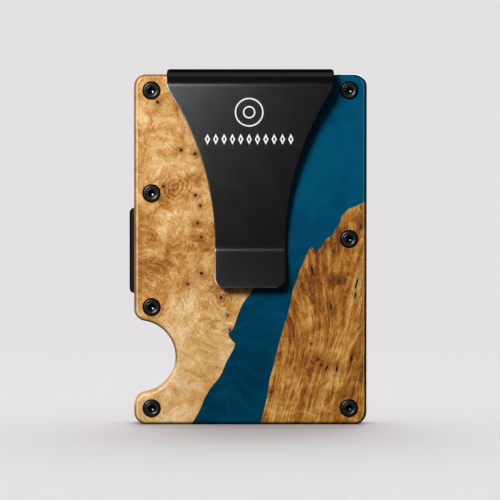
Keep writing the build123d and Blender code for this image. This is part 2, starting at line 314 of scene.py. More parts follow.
def light_burl():
    """Golden burl: cloudy, curly figure with pin knots and ringed eyes."""
    g = material_graph("light_burl")
    point = g.drawing_mm()
    z = g.split(point)[2]
    drift = wobbled(g, point, 0.06, 10.0)
    swirled = wobbled(g, drift, 0.16, 7.0, 3)
    curled = wobbled(g, swirled, 0.5, 2.2)
    tight = wobbled(g, curled, 1.6, 0.9)
    patches = g.noise(drift, 0.11, 3)
    clouds = g.noise(swirled, 0.26, 4, 0.55)
    curls = g.noise(curled, 0.55, 4, 0.6)
    fibre = g.noise(g.vector("MULTIPLY", tight, (1, 1, 0.6)), 1.9, 3, 0.7)
    tone = tone_of(g, (patches, 0.95), (clouds, 0.95), (curls, 0.75), (fibre, 0.95))
    # The board is calmer at its lower end, darker at its middle and paler at both ends.
    calm = g.smooth(z, 30.0, 18.0, 1.0, 0.7)
    tone = g.math("ADD", g.math("MULTIPLY", g.math("SUBTRACT", tone, 0.5), calm), 0.5)
    upper = g.smooth(z, 55.0, 68.0, -0.05, 0.03)
    lower = g.smooth(z, 34.0, 20.0, 0.0, 0.18)
    tone = g.math("ADD", tone, g.math("ADD", upper, lower))
    base = g.ramp(ringed_eyes(g, point, tone), (
        (0.10, "8a4f1e"), (0.32, "b57631"), (0.48, "cf964d"), (0.64, "e0b06f"), (0.88, "f6d8a6"),
    ))
    base = curly_lines(g, point, tight, base)
    spot = wobbled(g, point, 1.2, 0.6)
    knot = g.least([g.math("DIVIDE", near(g, spot, x, z_at), radius) for x, z_at, radius in KNOTS])
    base = pin_knots(g, knot, tight, base)
    # The lower side of the thumb notch faces the light, so it takes little of the painted edge shade
    # and stays as pale as the face.
    in_notch = g.smooth(near(g, point, *NOTCH), 13.0, 11.0)
    facing_up = g.math("MULTIPLY", in_notch, g.smooth(z, 18.0, 12.0))
    rim = g.smooth(facing_up, 0.0, 1.0, 0.8, 0.1)
    # Painted shade on the rounded edges (8a5a28) and a painted highlight line down the long edges
    # (f8e2c2).
    base = painted_edge_shade_and_highlight(g, point, base, "f8e2c2", "8a5a28", rim)
    g.set(Base_Color=base, Roughness=g.smooth(curls, 0.3, 0.7, 0.46, 0.36))
    height = g.math("SUBTRACT", g.math("MULTIPLY", fibre, 0.4), g.smooth(knot, 1.2, 0.5))
    g.bump(height, 0.04 * MM, 0.5)
    return g.set(Coat_Weight=0.15, Coat_Roughness=0.2, Specular_IOR_Level=0.25)


def fanned_grain(g, point):
    """The dark board's grain, which fans out upwards and leans to the left lower down."""
    x, y, z = g.split(point)
    spread = g.smooth(z, 16.0, 60.0, 0.62, 2.0)
    below = g.math("MAXIMUM", g.math("SUBTRACT", 24.0, z), 0.0)
    centre = g.math("SUBTRACT", 20.0, g.math("MULTIPLY", below, 0.26))
    across = g.math("DIVIDE", g.math("SUBTRACT", x, centre), spread)
    grain = g.join(across, g.math("MULTIPLY", y, 0.5), g.math("MULTIPLY", z, 0.12))
    return wobbled(g, wobbled(g, grain, 0.3, 1.5, 3), 1.4, 0.5, 3)


def dark_burl():
    """Brown burl: streaked upright grain with dark clouds and long pores."""
    g = material_graph("dark_burl")
    point = g.drawing_mm()
    x, _, z = g.split(point)
    grain = fanned_grain(g, point)
    loose = wobbled(g, wobbled(g, point, 0.12, 5.0), 0.5, 1.6)
    broad = g.noise(grain, 0.32, 3, 0.55)
    streak = g.noise(grain, 1.3, 4, 0.65)
    fine = g.noise(g.vector("MULTIPLY", grain, (1, 1, 2)), 4.0, 3, 0.65)
    mottle = g.noise(loose, 0.7, 4, 0.65)
    blotch = g.noise(loose, 0.17, 3, 0.55)
    tone = tone_of(g, (broad, 1.0), (streak, 0.95), (fine, 0.75), (mottle, 0.65), (blotch, 0.85))
    # The top of the board is browner.
    tone = g.math("SUBTRACT", tone, g.smooth(z, 24.0, 36.0, -0.03, 0.01))
    # A pale band runs down inside the right edge.
    band = g.math("ABSOLUTE", g.math("SUBTRACT", x, 25.2))
    band = g.math("MULTIPLY", g.smooth(band, 2.4, 0.4, 0.0, 0.15), g.smooth(z, 20.0, 34.0))
    tone = g.math("ADD", tone, band)
    for x_at, z_at, reach, depth in CLOUDS:
        cloud = g.math("DIVIDE", near(g, loose, x_at, z_at, stretch=1.4), reach)
        tone = g.math("SUBTRACT", tone, g.smooth(cloud, 1.2, 0.2, 0.0, depth))
    base = g.ramp(tone, (
        (0.08, "4a2810"), (0.30, "82491a"), (0.48, "a96923"), (0.64, "c5893a"), (0.90, "e6b971"),
    ))
    spot = wobbled(g, point, 0.8, 0.4)
    pore = g.least([
        near(g, spot, x_at, z_at, max(1.0, half / PORE_HALF_WIDTH), lean)
        for x_at, z_at, half, lean in PORES
    ])
    base = g.mix(g.smooth(pore, 0.95, 0.3, 0.0, 0.45), base, colour("6a3a16"))
    base = g.mix(g.smooth(pore, 0.30, 0.17), base, colour("22130d"))
    # Painted shade on the rounded edges (4a2a10) and a painted highlight line down the long edges
    # (d9a764).
    base = painted_edge_shade_and_highlight(g, point, base, "d9a764", "4a2a10")
    g.set(Base_Color=base, Roughness=g.smooth(streak, 0.3, 0.7, 0.46, 0.36))
    g.bump(g.math("SUBTRACT", fine, g.smooth(pore, 0.34, 0.15)), 0.04 * MM, 0.45)
    return g.set(Coat_Weight=0.15, Coat_Roughness=0.2, Specular_IOR_Level=0.25)


def blue_resin():
    """Deep blue cast resin, polished; painted light makes it lighter towards its upper right."""
    g = material_graph("blue_resin")
    point = g.drawing_mm()
    x, _, z = g.split(point)
    swirled = wobbled(g, wobbled(g, point, 0.05, 16.0), 0.18, 5.0)
    cloud = g.noise(swirled, 0.10, 3)
    wisp = g.math("ABSOLUTE", g.math("SUBTRACT", g.noise(swirled, 0.07), 0.5))
    # Painted light: the resin grows lighter towards its upper right, as light falls from above.
    painted_light_rise = g.smooth(g.math("ADD", g.math("MULTIPLY", x, 0.5), z), 5.0, 80.0)
    tone = g.math("ADD", g.math("MULTIPLY", cloud, 0.75), g.math("MULTIPLY", painted_light_rise, 0.4))
    base = g.ramp(tone, (
        (0.30, "00374f"), (0.48, "013f59"), (0.62, "024663"), (0.80, "035271"),
    ))
    base = g.mix(g.smooth(wisp, 0.06, 0.0, 0.0, 0.12), base, colour("046488"))
    # Faint large swirls, as where the resin was poured.
    swirl = g.math("SINE", g.math("MULTIPLY", near(g, swirled, 6.0, 62.0), 1.3))
    base = g.mix(g.smooth(swirl, 0.2, 1.0, 0.0, 0.07), base, colour("086c92"))
    # Painted shade on the rounded edges (012a3c) and a painted highlight line down the long edges
    # (3c86a6).
    base = painted_edge_shade_and_highlight(g, point, base, "3c86a6", "012a3c")
    g.set(Base_Color=base, Roughness=g.smooth(cloud, 0.3, 0.7, 0.16, 0.10))
    return g.set(IOR=1.5, Specular_IOR_Level=0.35)


def black_metal(name, tint, rough, grain, metallic=0.0):
    """Black coated or anodised metal: a fine sandy skin with faint cloudy wear."""
    g = material_graph(name)
    point = g.drawing_mm()
    cloud = g.noise(wobbled(g, point, 0.2, 3.0), 0.25, 3, 0.6)
    sand = g.noise(point, grain, 3, 0.6)
    base = g.ramp(cloud, ((0.35, tint[0]), (0.65, tint[1])))
    g.set(Base_Color=base, Roughness=g.smooth(cloud, 0.3, 0.7, rough + 0.012, rough - 0.012))
    g.bump(sand, 0.0015 * MM, 0.5)
    return g.set(Metallic=metallic, Specular_IOR_Level=0.5)


# Pitches of the elastics' weave, across the band and along it, in millimetres.
RIB_PITCH = 0.9
PICK_PITCH = 0.45


def webbing():
    """Woven elastic: ribs run along the band, and fine picks cross them."""
    g = material_graph("black_webbing")
    uv = g.node("ShaderNodeUVMap", uv_map="cloth").outputs[0]
    along, across, _ = g.split(uv)
    rib = g.math("SINE", g.math("MULTIPLY", across, 2 * math.pi / RIB_PITCH))
    pick = g.math("SINE", g.math("MULTIPLY", along, 2 * math.pi / PICK_PITCH))
    shifted = g.math("MULTIPLY", pick, g.math("SIGN", rib))
    height = g.math("ADD", g.math("MULTIPLY", rib, 0.35), g.math("MULTIPLY", shifted, 0.18))
    fuzz = g.noise(uv, 6.0, 3, 0.6)
    # The weave's hollows are darker than its ribs: painted shade.
    base = g.ramp(g.math("ADD", g.math("MULTIPLY", height, 0.5), 0.5), (
        (0.1, "040405"), (0.9, "0f0f10"),
    ))
    g.set(Base_Color=base, Roughness=g.smooth(fuzz, 0.3, 0.7, 0.55, 0.42))
    g.bump(g.math("ADD", height, g.math("MULTIPLY", fuzz, 0.3)), 0.04 * MM, 0.6)
    return g.set(Sheen_Weight=0.04, Sheen_Roughness=0.4, Specular_IOR_Level=0.3)


def plain_thread():
    g = material_graph("black_thread")
    twist = g.noise(g.vector("MULTIPLY", g.drawing_mm(), (6, 6, 2)), 1.5, 2, 0.6)
    base = g.ramp(twist, ((0.35, "101011"), (0.65, "2a2a2c")))
    g.set(Base_Color=base, Roughness=g.smooth(twist, 0.3, 0.7, 0.7, 0.5))
    g.bump(twist, 0.02 * MM, 0.5)
    return g.owner


def white_ink():
    g = material_graph("white_ink")
    speckle = g.noise(g.drawing_mm(), 5.0, 3, 0.6)
    g.set(Base_Color=g.ramp(speckle, ((0.3, "dededc"), (0.6, "f4f4f2"))))
    g.set(Roughness=g.smooth(speckle, 0.3, 0.7, 0.55, 0.45))
    return g.owner


LIGHT_BURL = light_burl()
DARK_BURL = dark_burl()
RESIN = blue_resin()
CLIP_BLACK = black_metal("clip_black", ("0c0c0c", "0f0f0f"), 0.205, 7.0)
PLATE_BLACK = black_metal("plate_black", ("121213", "1a1a1c"), 0.42, 10.0, metallic=0.6)
# The screws' black, darkened further as painted shade for the chamfer and the socket.
SCREW_BLACK_AND_SHADE = black_metal("screw_black", ("050505", "0a0a0a"), 0.13, 8.0)
SCREW_FACE = black_metal("screw_face", ("181819", "202122"), 0.30, 8.0)
WEBBING = webbing()
THREAD = plain_thread()
INK = white_ink()


# ---------------------------------------------------------------- mesh helpers
def add_object(name, mesh, material, body=None):
    made = bpy.data.objects.new(name, mesh)
    bpy.context.scene.collection.objects.link(made)
    if material is not None:
        mesh.materials.clear()
        mesh.materials.append(material)
    if body is not None:
        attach(made, body)
    return made


def smooth_mesh(name, verts, faces, angle=35):
    mesh = bpy.data.meshes.new(name)
    mesh.from_pydata([tuple(v) for v in verts], [], faces)
    mesh.validate()
    shaping = bmesh.new()
    shaping.from_mesh(mesh)
    bmesh.ops.recalc_face_normals(shaping, faces=shaping.faces)
    shaping.to_mesh(mesh)
    shaping.free()
    mesh.shade_smooth()
    mesh.set_sharp_from_angle(angle=math.radians(angle))
    return mesh


def round_edges(mesh, width, angle=50, segments=2):
    """Bevels every edge sharper than angle."""
    shaping = bmesh.new()
    shaping.from_mesh(mesh)
    sharp = [
        e for e in shaping.edges
        if len(e.link_faces) == 2 and e.calc_face_angle() > math.radians(angle)
    ]
    bmesh.ops.bevel(
        shaping, geom=sharp, offset=width, segments=segments, profile=0.5, affect="EDGES",
        clamp_overlap=True,
    )
    shaping.to_mesh(mesh)
    shaping.free()
    mesh.shade_smooth()
    mesh.set_sharp_from_angle(angle=math.radians(35))


def bent_path(corners, radii, step):
    """Points and unit tangents, in a plane, along straight runs joined by tangent arcs."""
    runs = []
    here = Vector(corners[0])
    for before, corner, after, radius in zip(corners, corners[1:], corners[2:], radii):
        before, corner, after = Vector(before), Vector(corner), Vector(after)
        into = (corner - before).normalized()
        out = (after - corner).normalized()
        turn = into.angle_signed(out)
        reach = radius * math.tan(abs(turn) / 2)
        start = corner - into * reach
        runs.append((here, start, into, 0.0, 0.0))
        runs.append((start, corner + out * reach, into, turn, radius))
        here = corner + out * reach
    last = Vector(corners[-1])
    runs.append((here, last, (last - here).normalized(), 0.0, 0.0))
    found = []
    for start, end, into, turn, radius in runs:
        length = (end - start).length if turn == 0 else abs(turn) * radius
        # An arc takes shorter steps, so that it stays round.
        longest = step if turn == 0 else min(step, radius * 0.2)
        count = max(1, math.ceil(length / longest))
        for n in range(count):
            share = n / count
            if turn == 0:
                found.append((start.lerp(end, share), into.copy()))
                continue
            side = Vector((-into.y, into.x)) * (-1 if turn > 0 else 1)
            centre = start + side * radius
            swing = Matrix.Rotation(-turn * share, 2)
            found.append((centre + swing @ (start - centre), swing @ into))
    found.append((last, runs[-1][2].copy()))
    return found


# Width in millimetres of a strip's narrow outer column, which carries its rounded edge.
RIM = 0.35


def even(half):
    """A half width that is the same all along a strip."""
    return lambda n, point: half


def columns_across(wide, columns):
    """Sideways places of a strip's columns, from edge to edge."""
    inner = wide - RIM
    evenly = [inner * (2 * k / (columns - 2) - 1) for k in range(columns - 1)]
    return [-wide, *evenly, wide]


def strip_faces(rows, columns, closed):
    """Faces of a strip whose rows each hold the points of one face, then of the other."""
    faces = []
    other = columns + 1
    ring = 2 * other
    for n in range(rows if closed else rows - 1):
        a, b = n * ring, ((n + 1) % rows) * ring
        for k in range(columns):
            faces.append((a + k, b + k, b + k + 1, a + k + 1))
            c = other + k
            faces.append((a + c, a + c + 1, b + c + 1, b + c))
        for k in (0, columns):
            faces.append((a + k, a + other + k, b + other + k, b + k))
    if not closed:
        for a in (0, (rows - 1) * ring):
            for k in range(columns):
                faces.append((a + k, a + k + 1, a + other + k + 1, a + other + k))
    return faces


def strip_mesh(name, path, half_width, thickness, lay, columns, closed=False):
    """A flat strip that follows path. half_width(n, point) gives its half width there.
    lay(across, point) turns a sideways position and a path point into a place.
    It carries UVs named cloth: millimetres along the strip, and across it."""
    verts, uvs = [], []
    travelled = 0.0
    for n, (point, tangent) in enumerate(path):
        if n:
            travelled += (point - path[n - 1][0]).length
        normal = Vector((-tangent.y, tangent.x))
        for side in (0.5, -0.5):
            shifted = point + normal * (thickness * side)
            for across in columns_across(half_width(n, point), columns):
                verts.append(lay(across, shifted))
                uvs.append((travelled, across))
    mesh = smooth_mesh(name, verts, strip_faces(len(path), columns, closed))
    layer = mesh.uv_layers.new(name="cloth")
    for loop in mesh.loops:
        layer.data[loop.index].uv = uvs[loop.vertex_index]
    return mesh


# ---------------------------------------------------------------- the panels
def panels():
    looks = {"burl_left": LIGHT_BURL, "resin_river": RESIN, "burl_right": DARK_BURL}
    for side in ("front", "back"):
        for part, material in looks.items():
            dress(side + "_" + part, material)
        dress(side + "_inner_plate", PLATE_BLACK)


def dress(node, material):
    """Gives a CAD node its material."""
    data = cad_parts[node].data
    data.materials.clear()
    data.materials.append(material)


# ---------------------------------------------------------------- screws
# Places of the screws' middles, and sizes, in the drawing's millimetres.
SCREW_X = 24.25
SCREWS_LEFT = (3.95, 28.85, 56.8, 82.0)
SCREWS_RIGHT = (4.0, 45.6, 82.05)
SCREWS = [(-SCREW_X, z) for z in SCREWS_LEFT] + [(SCREW_X, z) for z in SCREWS_RIGHT]
HEAD = 2.2
SHANK = 1.0
SOCKET = 0.80
SOCKET_LOBE = 0.09
# The flat of the head, between these radii, is a little paler than the rest; the darker black of the
# rest is painted shade round the chamfer and in the socket.
FLAT = (0.95, 1.86)


def screw_mesh():
    """A screw turned about its axis, face towards -Y, with a six-lobed socket."""
    around = 72
    # Radius in millimetres, depth below the face, and how far the ring follows the lobes.
    profile = (
        (0.0, 1.02, 0), (0.12, 1.02, 0), (0.22, 0.99, 0), (0.40, 0.92, 0), (0.56, 0.85, 0),
        (0.64, 0.83, 0.6), (0.78, 0.82, 1), (SOCKET, 0.40, 1), (SOCKET, 0.08, 1), (0.86, 0.01, 1),
        (0.92, 0.0, 0.7), (1.05, 0.0, 0.2), (1.12, 0.0, 0), (1.17, 0.05, 0), (1.22, 0.07, 0),
        (1.34, 0.02, 0), (1.38, 0.0, 0), (1.60, 0.0, 0), (1.72, 0.0, 0), (1.80, 0.03, 0),
        (1.88, 0.075, 0), (2.06, 0.26, 0), (2.16, 0.38, 0), (HEAD, 0.52, 0), (HEAD, 1.3, 0),
        (SHANK, 1.3, 0), (SHANK, 4.2, 0), (0.7, 4.3, 0), (0.0, 4.3, 0),
    )
    verts, faces = [], []
    for radius, depth, follow in profile:
        for n in range(around):
            angle = 2 * math.pi * n / around
            wave = 1 + SOCKET_LOBE / SOCKET * math.cos(6 * angle) * follow
            r = radius * wave * MM
            verts.append((r * math.cos(angle), depth * MM, r * math.sin(angle)))
    for ring in range(len(profile) - 1):
        for n in range(around):
            a, b = ring * around + n, ring * around + (n + 1) % around
            faces.append((a, b, b + around, a + around))
    mesh = bpy.data.meshes.new("screw")
    mesh.from_pydata(verts, [], faces)
    cleaned = bmesh.new()
    cleaned.from_mesh(mesh)
    bmesh.ops.remove_doubles(cleaned, verts=cleaned.verts, dist=1e-7)
    bmesh.ops.recalc_face_normals(cleaned, faces=cleaned.faces)
    cleaned.to_mesh(mesh)
    cleaned.free()
    mesh.materials.append(SCREW_BLACK_AND_SHADE)
    mesh.materials.append(SCREW_FACE)
    # The flat takes the paler black; the chamfer and socket take the darker black, as painted shade.
    for face in mesh.polygons:
        reach = math.hypot(face.center.x, face.center.z) / MM
        on_flat = face.center.y < 0.1 * MM and FLAT[0] < reach < FLAT[1]
        face.material_index = 1 if on_flat else 0
    mesh.shade_smooth()
    mesh.set_sharp_from_angle(angle=math.radians(40))
    return mesh


def screws():
    # The heads' faces lie a little below the covers'.
    sink = 0.05 * MM
    for side, body, face, facing in (
        ("front", "front_panel", FACE_Y + sink, 0.0),
        ("back", "back_panel", BACK_FACE_Y - sink, math.pi),
    ):
        for n, (x, z) in enumerate(SCREWS):
            # Each screw stopped turning at its own angle.
            mesh = screw_mesh()
            turn = Matrix.Rotation(facing, 4, "Z") @ Matrix.Rotation(1.1 * n + 0.3, 4, "Y")
            centre = Matrix.Translation((MIDDLE_X + x * MM, face, z * MM))
            mesh.transform(centre @ turn)
            made = add_object(f"{side}_screw_{n + 1}", mesh, None, body)
            if n == 0:
                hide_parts(side + "_screws")


# ---------------------------------------------------------------- money clip
# Sizes in the drawing's millimetres. A half is half a width, and CREASE is (y, z).
SPRING = 0.8
CLIP_TOP = CLIP_HIGH[2] / MM
# Height of the strip's middle where it runs over the panels' top edge.
RUN_Z = CLIP_TOP - SPRING / 2
CLIP_FRONT = 8.284
FLANGE_Y = -2.3
FLANGE_BOTTOM = 79.4
FLANGE_SHOULDER = 84.4
FLANGE_HALF = 26.3
BEND_HALF = 20.6
SHOULDER_Z = 83.2
SHOULDER_BLEND = 0.35
WAIST_Z = 44.0
WAIST_HALF = 8.7
FLANK_RADIUS = 69.3
CREASE = (-5.35, 43.0)
TIP_Z = 33.6
# How far the tongue comes forward, for each millimetre down from the crease.
TIP_SLOPE = 1.85 / 10.4
TIP_CORNER = 2.3
FRONT_BEND = 3.34
BACK_BEND = 0.8
CREASE_BEND = 5.0
# The roll's ends are rounded at the top, as seen from the front.
ROLL_CORNER = 0.7


def clip_half_width(z):
    """Half width of the arm at a height: broad shoulders, concave flanks, a straight tongue."""
    rise = max(0.0, min(z, SHOULDER_Z) - WAIST_Z)
    half = WAIST_HALF + FLANK_RADIUS - math.sqrt(FLANK_RADIUS**2 - rise**2)
    half = smooth_least(half, BEND_HALF, SHOULDER_BLEND)
    # The tip's corners are rounded.
    low = z - TIP_Z
    if low < TIP_CORNER:
        half -= TIP_CORNER - math.sqrt(max(0.0, TIP_CORNER**2 - (TIP_CORNER - low) ** 2))
    return half


def smooth_least(a, b, blend):
    """The smaller of two lengths, rounded where they meet."""
    return (a + b - math.sqrt((a - b) ** 2 + blend)) / 2


def clip_corners():
    """The strip's middle line in (y, z) before its bends are rounded, from foot to tip."""
    half = SPRING / 2
    lean = math.atan2(CLIP_FRONT - half + CREASE[0], RUN_Z - CREASE[1])
    # With its corner here, the rounded bend reaches forward as far as CLIP_FRONT.
    corner_y = -CLIP_FRONT + half + FRONT_BEND * (1 - math.tan((math.pi / 2 + lean) / 2))
    tip = (CREASE[0] - TIP_SLOPE * (CREASE[1] - TIP_Z), TIP_Z)
    return ((FLANGE_Y, FLANGE_BOTTOM), (FLANGE_Y, RUN_Z), (corner_y, RUN_Z), CREASE, tip)


def clip():
    path = bent_path(clip_corners(), (BACK_BEND, FRONT_BEND, CREASE_BEND), 0.4)
    flange_rows = next(n for n, (point, _) in enumerate(path) if point.y > RUN_Z - 0.5)

    def half_width(n, point):
        if n >= flange_rows:
            return clip_half_width(point.y)
        return FLANGE_HALF if point.y < FLANGE_SHOULDER else BEND_HALF

    def lay(across, point):
        near_top = min(ROLL_CORNER, max(0.0, ROLL_CORNER - (CLIP_TOP - point.y)))
        pulled_in = ROLL_CORNER - math.sqrt(ROLL_CORNER**2 - near_top**2)
        return place(across * (1 - pulled_in / BEND_HALF), point.x, point.y)

    mesh = strip_mesh("clip", path, half_width, SPRING, lay, columns=28)
    round_edges(mesh, 0.10 * MM)
    made = add_object("spring_clip", mesh, CLIP_BLACK, None)
    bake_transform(made)
    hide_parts("clip_base", "clip_arm")


# ---------------------------------------------------------------- printed ornament
# Sizes in the drawing's millimetres; RING_CENTRE is (x, z).
INK_DEPTH = 0.03
INK_LINE = 0.34
RING_CENTRE = (-0.3, 76.7)
RING_RADII = (3.35, 1.35)
ROW_Z = 70.1
ROW_HALF = 10.2
ROW_COUNT = 11
# Half a lozenge's width and height.
LOZENGE = (0.46, 0.95)


def arm_face(z):
    """How far forward the arm's flat front face is at a height."""
    crest, crease = clip_corners()[2:4]
    slope = (crest[0] - crease[0]) / (crest[1] - crease[1])
    return crease[0] + slope * (z - crease[1]) - SPRING / 2 * math.hypot(1, slope)


def ink_line(points):
    """Vertices and faces of a thin printed line round closed (x, z) points on the arm."""
    verts, faces = [], []
    count = len(points)
    for n in range(count):
        before, point, after = (Vector(points[(n + k) % count]) for k in (-1, 0, 1))
        into = (point - before).normalized()
        out = (after - point).normalized()
        along = (into + out).normalized()
        side = Vector((-along.y, along.x))
        # The line keeps its width round a corner, apart from very sharp ones.
        mitre = max(0.4, math.sqrt((1 + into.dot(out)) / 2))
        for shift in (-0.5, 0.5):
            x, z = point + side * (INK_LINE * shift / mitre)
            for depth in (INK_DEPTH, -INK_DEPTH):
                verts.append(place(x, arm_face(z) - depth, z))
        a, b = 4 * n, 4 * ((n + 1) % count)
        for k, m in ((0, 1), (1, 3), (3, 2), (2, 0)):
            faces.append((a + k, b + k, b + m, a + m))
    return verts, faces


def circle(centre, radius, count=72):
    turns = [2 * math.pi * n / count for n in range(count)]
    return [(centre[0] + radius * math.cos(a), centre[1] + radius * math.sin(a)) for a in turns]


def gathered(shapes):
    """One list of vertices and one of faces, from several shapes that each have both."""
    verts, faces = [], []
    for new_verts, new_faces in shapes:
        faces += [tuple(i + len(verts) for i in face) for face in new_faces]
        verts += new_verts
    return verts, faces


def ornament():
    """Two plain rings over a row of small lozenges."""
    lines = [circle(RING_CENTRE, radius) for radius in RING_RADII]
    wide, high = LOZENGE
    for n in range(ROW_COUNT):
        x = RING_CENTRE[0] + ROW_HALF * (2 * n / (ROW_COUNT - 1) - 1)
        lines.append([(x - wide, ROW_Z), (x, ROW_Z + high), (x + wide, ROW_Z), (x, ROW_Z - high)])
    mesh = smooth_mesh("ornament", *gathered(ink_line(line) for line in lines))
    made = add_object("clip_ornament", mesh, INK, None)
    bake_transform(made)


# ---------------------------------------------------------------- elastics
# Sizes in the drawing's millimetres. Ends are a lower and an upper height.
ELASTIC = 0.8
ELASTIC_Y = 1.4
LOOP_HALF = 10.0
LOOP_ENDS = (0.7, 86.5)
LOOP_BEND = 0.7
STRAP_ENDS = (32.2, 53.1)
STRAP_LEFT = -29.38
STRAP_INNER = -20.9
STRAP_BEND = 0.9
STRAP_ROUNDING = 1.0
BEAD_LAYER = 0.65
BEAD_LENGTH = 2.0
BEAD_BEND = 0.38
BEAD_LAYERS_Y = (1.475, 0.675)
BEAD_FACE = 0.35
STITCH_PITCH = 2.0
STITCH_LENGTH = 1.4
STITCH_ROWS = (-22.27, -21.52)
THREAD_RADIUS = 0.12
SEAM_STITCHES = 18
SEAM_RISE = 0.55
SEAM_DROP = 0.6


def soft_band(name, path, half, lay, replaced, closed=False):
    """A woven elastic band between the panels."""
    mesh = strip_mesh(name, path, even(half), ELASTIC, lay, columns=24, closed=closed)
    round_edges(mesh, 0.2 * MM, segments=3)
    made = add_object(name, mesh, WEBBING, None)
    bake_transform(made)
    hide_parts(replaced)


def elastic_loop():
    low, high = LOOP_ENDS
    middle = (low + high) / 2
    corners = (
        (-ELASTIC_Y, middle), (-ELASTIC_Y, high), (ELASTIC_Y, high),
        (ELASTIC_Y, low), (-ELASTIC_Y, low), (-ELASTIC_Y, middle),
    )
    path = bent_path(corners, (LOOP_BEND,) * 4, 0.5)[:-1]

    def lay(across, point):
        return place(across, point.x, point.y)

    soft_band("woven_elastic_loop", path, LOOP_HALF, lay, "elastic_loop", closed=True)


def side_strap():
    low, high = STRAP_ENDS
    corners = (
        (STRAP_INNER, -ELASTIC_Y), (STRAP_LEFT, -ELASTIC_Y),
        (STRAP_LEFT, ELASTIC_Y), (STRAP_INNER, ELASTIC_Y),
    )
    path = bent_path(corners, (STRAP_BEND, STRAP_BEND), 0.3)
    half = (high - low) / 2
    outer = STRAP_LEFT - ELASTIC / 2

    def lay(across, point):
        near_edge = min(STRAP_ROUNDING, max(0.0, STRAP_ROUNDING - (point.x - outer)))
        rounded = half - STRAP_ROUNDING + math.sqrt(STRAP_ROUNDING**2 - near_edge**2)
        return place(point.x, point.y, (low + high) / 2 + across * rounded / half)

    soft_band("woven_side_strap", path, half, lay, "side_strap")
    for side, body in ((-1, "front_panel"), (1, "back_panel")):
        outer_y, inner_y = (side * y for y in BEAD_LAYERS_Y)
        reach = STRAP_INNER - BEAD_LENGTH + BEAD_LAYER / 2
        fold = (
            (STRAP_INNER, outer_y), (reach, outer_y), (reach, inner_y), (STRAP_INNER, inner_y),
        )
        folded = bent_path(fold, (BEAD_BEND, BEAD_BEND), 0.3)
        mesh = strip_mesh("bead", folded, even(half), BEAD_LAYER, lay, columns=24)
        round_edges(mesh, 0.14 * MM)
        name = "strap_bead_" + body.split("_")[0]
        add_object(name, mesh, WEBBING, body)


def stitch(start, end):
    """Vertices and faces of one rounded stitch of thread, which thins towards both ends."""
    along = (end - start).normalized()
    out = Vector((0, 1, 0))
    side = along.cross(out)
    rings, around = 9, 10
    verts, faces = [], []
    for n in range(rings):
        share = n / (rings - 1)
        # Full in the middle, about half as thick at the ends.
        swell = math.sin(math.pi * (0.08 + 0.84 * share)) ** 0.5
        radius = THREAD_RADIUS * MM * swell
        for k in range(around):
            angle = 2 * math.pi * k / around
            offset = side * math.cos(angle) * radius + out * math.sin(angle) * radius
            verts.append(start.lerp(end, share) + offset)
    for n in range(rings - 1):
        for k in range(around):
            a, b = n * around + k, n * around + (k + 1) % around
            faces.append((a, b, b + around, a + around))
    faces.append(tuple(range(around)))
    faces.append(tuple(range((rings - 1) * around, rings * around)))
    return verts, faces


def sew(name, body, stitches, replaced):
    """One mesh of many stitches, each given by its two ends in the drawing's millimetres."""
    verts, faces = gathered(stitch(place(*start), place(*end)) for start, end in stitches)
    made = add_object(name, smooth_mesh(name, verts, faces, 60), THREAD, body)
    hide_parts(replaced)


def stitching():
    low, high = STRAP_ENDS
    count = int((high - low - STITCH_LENGTH) / STITCH_PITCH) + 1
    first = (low + high - (count - 1) * STITCH_PITCH - STITCH_LENGTH) / 2
    starts = [first + n * STITCH_PITCH for n in range(count)]
    for side, word in ((-1, "front"), (1, "back")):
        y = side * BEAD_FACE
        runs = [((x, y, z), (x, y, z + STITCH_LENGTH)) for x in STITCH_ROWS for z in starts]
        sew(f"strap_thread_{word}", word + "_panel", runs, f"side_strap_{word}_stitching")
    seam_y = ELASTIC_Y + ELASTIC / 2
    seam_z = sum(LOOP_ENDS) / 2 - SEAM_DROP
    zigzag = []
    for n in range(SEAM_STITCHES):
        left = n - SEAM_STITCHES / 2
        rise = SEAM_RISE if n % 2 else -SEAM_RISE
        zigzag.append(((left + 0.1, seam_y, seam_z - rise), (left + 0.9, seam_y, seam_z + rise)))
    sew("loop_seam_thread", "back_panel", zigzag, "elastic_loop_seam")


panels()
screws()
clip()
ornament()
elastic_loop()
side_strap()
stitching()


# ---------------------------------------------------------------- stage, lights and camera
PAPER = "e3e1e2"


def stage():
    """A pale floor that sweeps up into a backdrop, which is lit evenly from within."""
    front, back, width, height = -3.0, 1.3, 6.0, 1.6
    sweep, steps = 0.5, 16
    # The two points in between keep the bend's smooth shading away from the floor.
    profile = [(front, 0.0), (-1.0, 0.0), (0.0, 0.0), (back - sweep, 0.0)]
    for n in range(1, steps + 1):
        angle = math.pi / 2 * n / steps
        profile.append((back - sweep + sweep * math.sin(angle), sweep - sweep * math.cos(angle)))
    profile.append((back, height))
    verts = [(side * width / 2, y, z) for y, z in profile for side in (-1, 1)]
    faces = [(2 * n, 2 * n + 1, 2 * n + 3, 2 * n + 2) for n in range(len(profile) - 1)]
    g = material_graph("pale_paper")
    point = g.node("ShaderNodeTexCoord").outputs["Object"]
    paper = g.ramp(g.noise(point, 900.0), ((0.0, "e1dfe0"), (1.0, "e5e3e4")))
    # Close to the object the floor takes light and shadow, and further off it glows.
    glow = g.smooth(g.length(point), 0.12, 0.42)
    g.set(Base_Color=g.mix(glow, paper, (0, 0, 0, 1)), Roughness=0.9, Specular_IOR_Level=0.0)
    g.set(Emission_Color=colour(PAPER), Emission_Strength=glow)
    mesh = bpy.data.meshes.new("backdrop")
    mesh.from_pydata(verts, [], faces)
    mesh.shade_smooth()
    made = add_object("backdrop", mesh, g.owner)
    made.visible_glossy = False
    made.visible_diffuse = False
    made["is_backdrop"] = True
    return made


